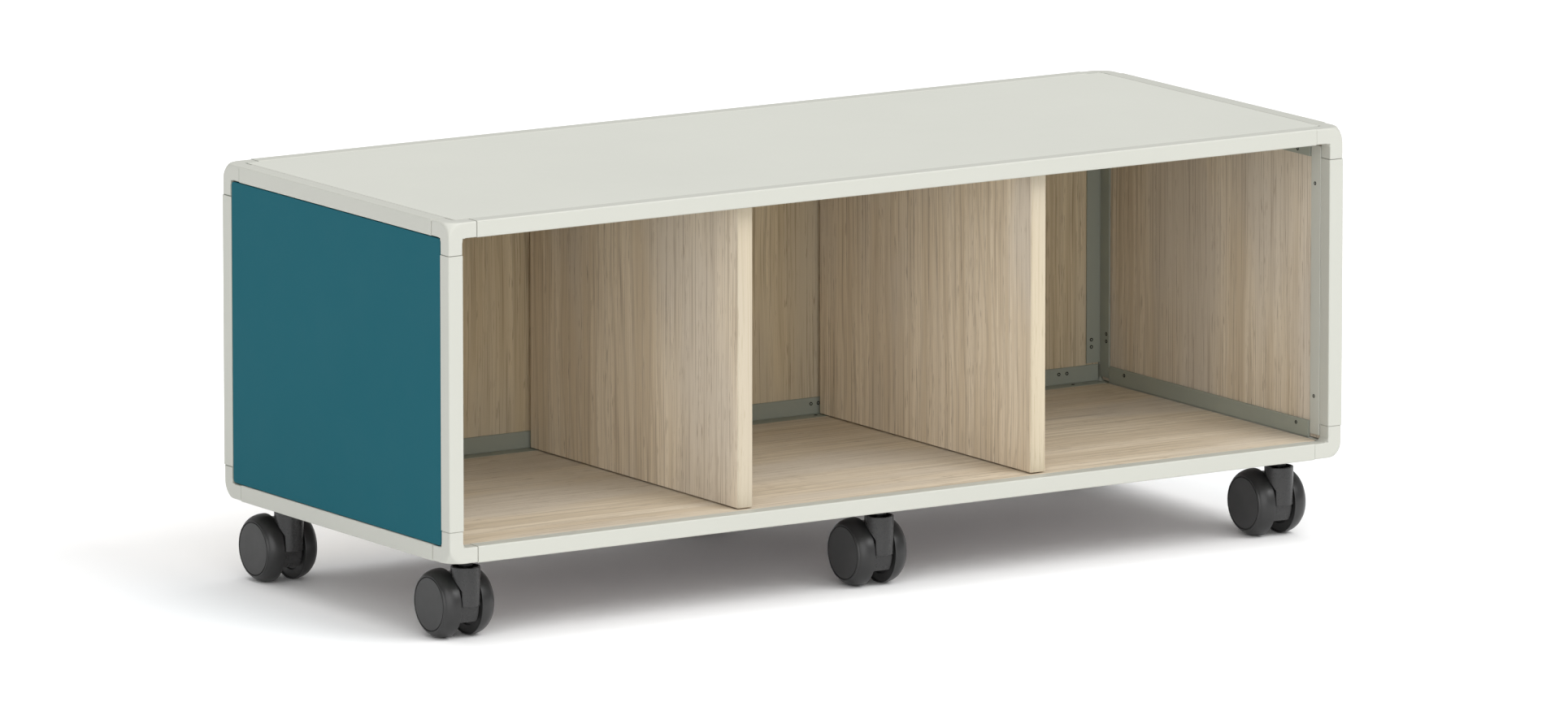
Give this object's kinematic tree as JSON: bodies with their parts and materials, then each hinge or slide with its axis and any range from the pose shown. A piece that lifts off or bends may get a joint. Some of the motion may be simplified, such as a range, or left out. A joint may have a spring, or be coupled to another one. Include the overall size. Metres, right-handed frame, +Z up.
{
  "type": "mobile shelf unit",
  "caption": "Low open-fronted storage unit on twin-wheel swivel castors: a square tube frame with cast corners, flush boards and upright dividers parting it into bays.",
  "frame": {"origin": "middle of the bounding box, on the ground under the castors", "axes": "+X along the long front towards its right end seen from the front, +Y from the open front to the back, +Z up"},
  "size_m": [1.2, 0.4954, 0.4808],
  "materials": {
    "frame_tube": "smooth off-white powder coat",
    "frame_corner": "off-white powder coat on cast corners",
    "top_board": "off-white laminate on board",
    "side_skin": "teal laminate on board",
    "wood_board": "greige straight-grain wood laminate",
    "divider_board": "greige straight-grain wood laminate with a paler edge band",
    "castor_body": "black moulded plastic",
    "castor_wheel": "black moulded plastic with a soft tread",
    "castor_steel": "zinc plated steel"
  },
  "bodies": {
    "cabinet": {"front_bottom_rail": "frame_tube", "front_top_rail": "frame_tube", "back_bottom_rail": "frame_tube", "back_top_rail": "frame_tube", "left_bottom_rail": "frame_tube", "left_top_rail": "frame_tube", "right_bottom_rail": "frame_tube", "right_top_rail": "frame_tube", "front_left_post": "frame_tube", "back_left_post": "frame_tube", "front_right_post": "frame_tube", "back_right_post": "frame_tube", "front_left_bottom_corner": "frame_corner", "front_right_bottom_corner": "frame_corner", "back_left_bottom_corner": "frame_corner", "back_right_bottom_corner": "frame_corner", "front_left_top_corner": "frame_corner", "front_right_top_corner": "frame_corner", "back_left_top_corner": "frame_corner", "back_right_top_corner": "frame_corner", "top_panel": "top_board", "floor_board": "wood_board", "back_panel": "wood_board", "left_side_panel": "side_skin", "right_side_panel": "side_skin", "left_side_lining": "wood_board", "right_side_lining": "wood_board", "left_divider": "divider_board", "right_divider": "divider_board", "front_left_castor_mount": "castor_steel", "front_mid_castor_mount": "castor_steel", "front_right_castor_mount": "castor_steel", "back_left_castor_mount": "castor_steel", "back_mid_castor_mount": "castor_steel", "back_right_castor_mount": "castor_steel"},
    "front_left_castor_swivel_body": {"front_left_castor_fork": "castor_body", "front_left_castor_axle": "castor_steel"},
    "front_left_castor_left_wheel_body": {"front_left_castor_left_wheel": "castor_wheel"},
    "front_left_castor_right_wheel_body": {"front_left_castor_right_wheel": "castor_wheel"},
    "front_mid_castor_swivel_body": {"front_mid_castor_fork": "castor_body", "front_mid_castor_axle": "castor_steel"},
    "front_mid_castor_left_wheel_body": {"front_mid_castor_left_wheel": "castor_wheel"},
    "front_mid_castor_right_wheel_body": {"front_mid_castor_right_wheel": "castor_wheel"},
    "front_right_castor_swivel_body": {"front_right_castor_fork": "castor_body", "front_right_castor_axle": "castor_steel"},
    "front_right_castor_left_wheel_body": {"front_right_castor_left_wheel": "castor_wheel"},
    "front_right_castor_right_wheel_body": {"front_right_castor_right_wheel": "castor_wheel"},
    "back_left_castor_swivel_body": {"back_left_castor_fork": "castor_body", "back_left_castor_axle": "castor_steel"},
    "back_left_castor_left_wheel_body": {"back_left_castor_left_wheel": "castor_wheel"},
    "back_left_castor_right_wheel_body": {"back_left_castor_right_wheel": "castor_wheel"},
    "back_mid_castor_swivel_body": {"back_mid_castor_fork": "castor_body", "back_mid_castor_axle": "castor_steel"},
    "back_mid_castor_left_wheel_body": {"back_mid_castor_left_wheel": "castor_wheel"},
    "back_mid_castor_right_wheel_body": {"back_mid_castor_right_wheel": "castor_wheel"},
    "back_right_castor_swivel_body": {"back_right_castor_fork": "castor_body", "back_right_castor_axle": "castor_steel"},
    "back_right_castor_left_wheel_body": {"back_right_castor_left_wheel": "castor_wheel"},
    "back_right_castor_right_wheel_body": {"back_right_castor_right_wheel": "castor_wheel"}
  },
  "joints": [
    {"name": "front_left_castor_swivel", "type": "hinge", "parent": "cabinet", "child": "front_left_castor_swivel_body", "pos_m": [-0.548, -0.19625, 0.0833], "axis": [0, 0, 1], "continuous": true},
    {"name": "front_left_castor_left_roll", "type": "hinge", "parent": "front_left_castor_swivel_body", "child": "front_left_castor_left_wheel_body", "pos_m": [-0.548, -0.17175, 0.039], "axis": [1, 0, 0], "continuous": true},
    {"name": "front_left_castor_right_roll", "type": "hinge", "parent": "front_left_castor_swivel_body", "child": "front_left_castor_right_wheel_body", "pos_m": [-0.548, -0.17175, 0.039], "axis": [1, 0, 0], "continuous": true},
    {"name": "front_mid_castor_swivel", "type": "hinge", "parent": "cabinet", "child": "front_mid_castor_swivel_body", "pos_m": [0, -0.19625, 0.0833], "axis": [0, 0, 1], "continuous": true},
    {"name": "front_mid_castor_left_roll", "type": "hinge", "parent": "front_mid_castor_swivel_body", "child": "front_mid_castor_left_wheel_body", "pos_m": [0, -0.17175, 0.039], "axis": [1, 0, 0], "continuous": true},
    {"name": "front_mid_castor_right_roll", "type": "hinge", "parent": "front_mid_castor_swivel_body", "child": "front_mid_castor_right_wheel_body", "pos_m": [0, -0.17175, 0.039], "axis": [1, 0, 0], "continuous": true},
    {"name": "front_right_castor_swivel", "type": "hinge", "parent": "cabinet", "child": "front_right_castor_swivel_body", "pos_m": [0.548, -0.19625, 0.0833], "axis": [0, 0, 1], "continuous": true},
    {"name": "front_right_castor_left_roll", "type": "hinge", "parent": "front_right_castor_swivel_body", "child": "front_right_castor_left_wheel_body", "pos_m": [0.548, -0.17175, 0.039], "axis": [1, 0, 0], "continuous": true},
    {"name": "front_right_castor_right_roll", "type": "hinge", "parent": "front_right_castor_swivel_body", "child": "front_right_castor_right_wheel_body", "pos_m": [0.548, -0.17175, 0.039], "axis": [1, 0, 0], "continuous": true},
    {"name": "back_left_castor_swivel", "type": "hinge", "parent": "cabinet", "child": "back_left_castor_swivel_body", "pos_m": [-0.548, 0.18425, 0.0833], "axis": [0, 0, 1], "continuous": true},
    {"name": "back_left_castor_left_roll", "type": "hinge", "parent": "back_left_castor_swivel_body", "child": "back_left_castor_left_wheel_body", "pos_m": [-0.548, 0.20875, 0.039], "axis": [1, 0, 0], "continuous": true},
    {"name": "back_left_castor_right_roll", "type": "hinge", "parent": "back_left_castor_swivel_body", "child": "back_left_castor_right_wheel_body", "pos_m": [-0.548, 0.20875, 0.039], "axis": [1, 0, 0], "continuous": true},
    {"name": "back_mid_castor_swivel", "type": "hinge", "parent": "cabinet", "child": "back_mid_castor_swivel_body", "pos_m": [0, 0.18425, 0.0833], "axis": [0, 0, 1], "continuous": true},
    {"name": "back_mid_castor_left_roll", "type": "hinge", "parent": "back_mid_castor_swivel_body", "child": "back_mid_castor_left_wheel_body", "pos_m": [0, 0.20875, 0.039], "axis": [1, 0, 0], "continuous": true},
    {"name": "back_mid_castor_right_roll", "type": "hinge", "parent": "back_mid_castor_swivel_body", "child": "back_mid_castor_right_wheel_body", "pos_m": [0, 0.20875, 0.039], "axis": [1, 0, 0], "continuous": true},
    {"name": "back_right_castor_swivel", "type": "hinge", "parent": "cabinet", "child": "back_right_castor_swivel_body", "pos_m": [0.548, 0.18425, 0.0833], "axis": [0, 0, 1], "continuous": true},
    {"name": "back_right_castor_left_roll", "type": "hinge", "parent": "back_right_castor_swivel_body", "child": "back_right_castor_left_wheel_body", "pos_m": [0.548, 0.20875, 0.039], "axis": [1, 0, 0], "continuous": true},
    {"name": "back_right_castor_right_roll", "type": "hinge", "parent": "back_right_castor_swivel_body", "child": "back_right_castor_right_wheel_body", "pos_m": [0.548, 0.20875, 0.039], "axis": [1, 0, 0], "continuous": true}
  ]
}
